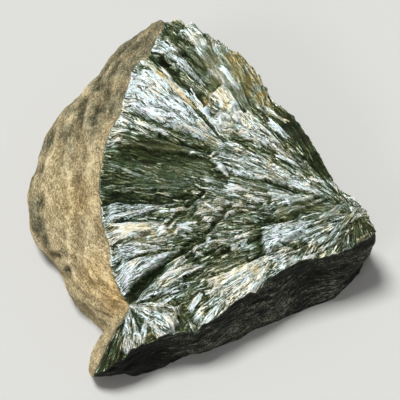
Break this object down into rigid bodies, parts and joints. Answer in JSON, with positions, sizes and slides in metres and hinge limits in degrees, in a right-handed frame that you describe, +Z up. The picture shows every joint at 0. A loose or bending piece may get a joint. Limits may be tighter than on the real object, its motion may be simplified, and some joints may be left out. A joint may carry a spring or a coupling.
{
  "type": "seraphinite rough stone",
  "caption": "Rough green feathery mineral specimen: sloping broken face with radiating silvery sprays, tan weathered skin on one side, dark broken walls and a flat underside to rest on.",
  "frame": {"origin": "centre of the stone's box, on the flat underside", "axes": "+Z up from the underside; the broken face slopes down towards -Y; the weathered skin is on the -X side and the pointed end on the +X side"},
  "size_m": [0.0812, 0.0846, 0.0371],
  "materials": {
    "seraphinite": "dark green feathery mineral with silvery pearly sprays, ochre stains, and a matt tan weathered skin on one side"
  },
  "bodies": {
    "root": {"seraphinite_chunk": "seraphinite"}
  },
  "joints": []
}
